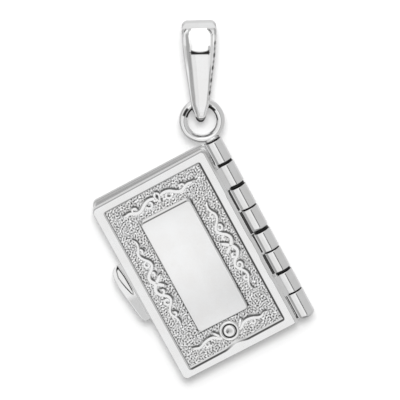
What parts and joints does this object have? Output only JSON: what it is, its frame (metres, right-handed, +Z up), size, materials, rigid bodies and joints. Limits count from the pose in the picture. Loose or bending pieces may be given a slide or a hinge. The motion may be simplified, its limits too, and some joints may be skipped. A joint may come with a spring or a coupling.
{
  "type": "bible pendant",
  "caption": "Small hinged book pendant of white metal with turning pages, relief covers, a clasp and a tapered bail on a ring.",
  "frame": {"origin": "inside top of the bail, where the chain carries it", "axes": "+Z up, +X across the pendant with the book's hinge on its side, +Y from the back cover towards the front cover"},
  "size_m": [0.0169, 0.0036, 0.0278],
  "materials": {
    "bail_metal": "polished white gold, rhodium plated",
    "ring_metal": "polished white gold, rhodium plated",
    "cover_metal": "polished relief over a stippled field",
    "page_metal": "fine satin white gold",
    "clasp_metal": "polished white gold, rhodium plated"
  },
  "bodies": {
    "bail": {"bail": "bail_metal"},
    "front_cover": {"front_cover": "cover_metal", "ring_and_pin": "ring_metal", "clasp": "clasp_metal"},
    "page_1": {"page_1": "page_metal"},
    "page_2": {"page_2": "page_metal"},
    "back_cover": {"back_cover": "cover_metal"}
  },
  "joints": [
    {"name": "book_swing", "type": "hinge", "parent": "bail", "child": "front_cover", "pos_m": [0, 0, -0.0057], "axis": [1, 0, 0], "range_deg": [-75, 75]},
    {"name": "page_1_turn", "type": "hinge", "parent": "front_cover", "child": "page_1", "pos_m": [0, 0, -0.00713], "axis": [-0.4462, 0, 0.8949], "range_deg": [0, 60]},
    {"name": "page_2_turn", "type": "hinge", "parent": "page_1", "child": "page_2", "pos_m": [0, 0, -0.00713], "axis": [-0.4462, 0, 0.8949], "range_deg": [0, 60]},
    {"name": "back_cover_turn", "type": "hinge", "parent": "page_2", "child": "back_cover", "pos_m": [0, 0, -0.00713], "axis": [-0.4462, 0, 0.8949], "range_deg": [0, 105]}
  ]
}
